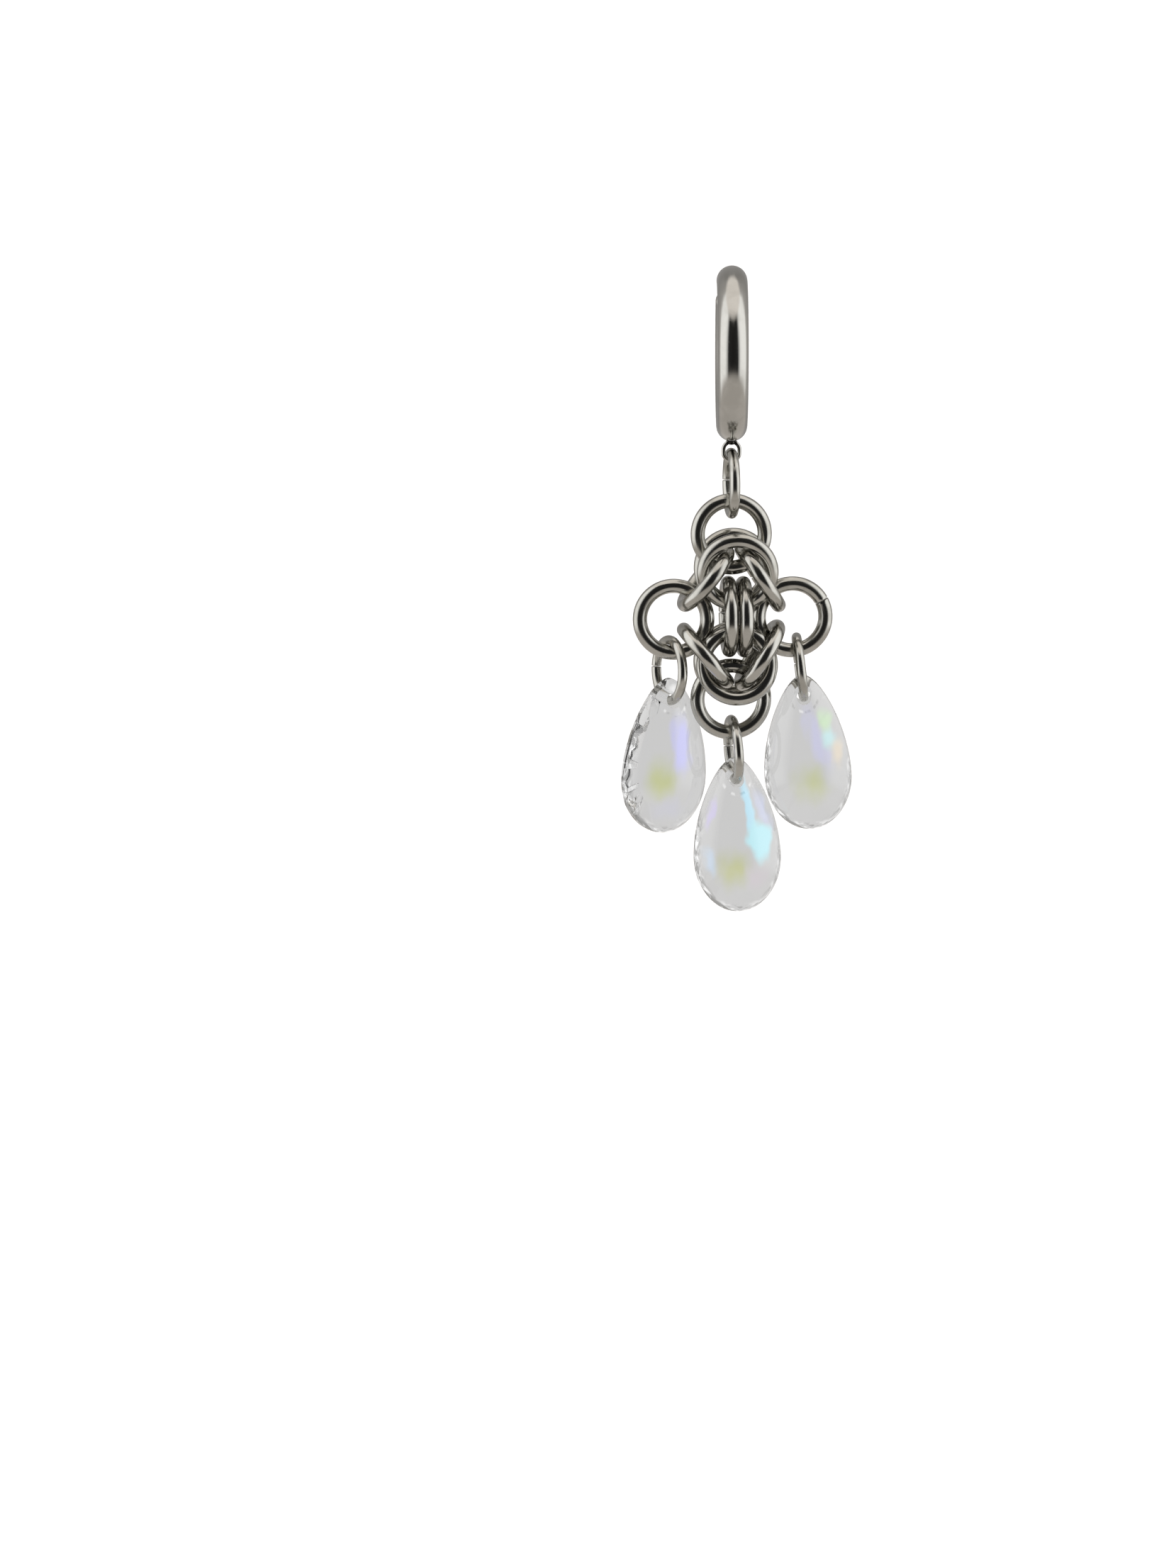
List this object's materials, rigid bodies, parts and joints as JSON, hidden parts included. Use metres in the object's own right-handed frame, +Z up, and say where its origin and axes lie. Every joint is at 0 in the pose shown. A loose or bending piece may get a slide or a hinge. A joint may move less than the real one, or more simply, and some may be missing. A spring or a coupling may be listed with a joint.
{
  "type": "chandelier earring",
  "caption": "Hinged clip hoop carrying a cross of woven steel rings with faceted clear pear drops hung on fine rings.",
  "frame": {"origin": "middle of the ear post, where it goes through the lobe", "axes": "+Z up as worn, +Y towards the wearer's head, +X across the cross of rings"},
  "size_m": [0.0186, 0.0139, 0.052],
  "materials": {
    "hoop_steel": "polished stainless steel",
    "ring_steel": "polished stainless steel wire",
    "drop_glass": "clear cut glass with a faint iridescent coating"
  },
  "bodies": {
    "clip": {"hoop_front": "hoop_steel", "hinge_pin": "hoop_steel"},
    "arm": {"hoop_arm": "hoop_steel"},
    "pendant": {"jump_ring_top": "ring_steel", "cross_top": "ring_steel", "cross_bottom": "ring_steel", "cross_left": "ring_steel", "cross_right": "ring_steel", "diagonal_upper_left": "ring_steel", "diagonal_upper_right": "ring_steel", "diagonal_lower_left": "ring_steel", "diagonal_lower_right": "ring_steel", "knot_upper_front": "ring_steel", "knot_upper_back": "ring_steel", "knot_lower_front": "ring_steel", "knot_lower_back": "ring_steel", "centre_left": "ring_steel", "centre_right": "ring_steel", "drop_ring_left": "ring_steel", "drop_ring_centre": "ring_steel", "drop_ring_right": "ring_steel", "drop_left": "drop_glass", "drop_centre": "drop_glass", "drop_right": "drop_glass"}
  },
  "joints": [
    {"name": "arm_hinge", "type": "hinge", "parent": "clip", "child": "arm", "pos_m": [0, -0.00046, -0.01131], "axis": [-1, 0, 0], "range_deg": [0, 45]},
    {"name": "pendant_swing", "type": "hinge", "parent": "clip", "child": "pendant", "pos_m": [0, -0.00244, -0.01384], "axis": [1, 0, 0], "range_deg": [-45, 45]}
  ]
}
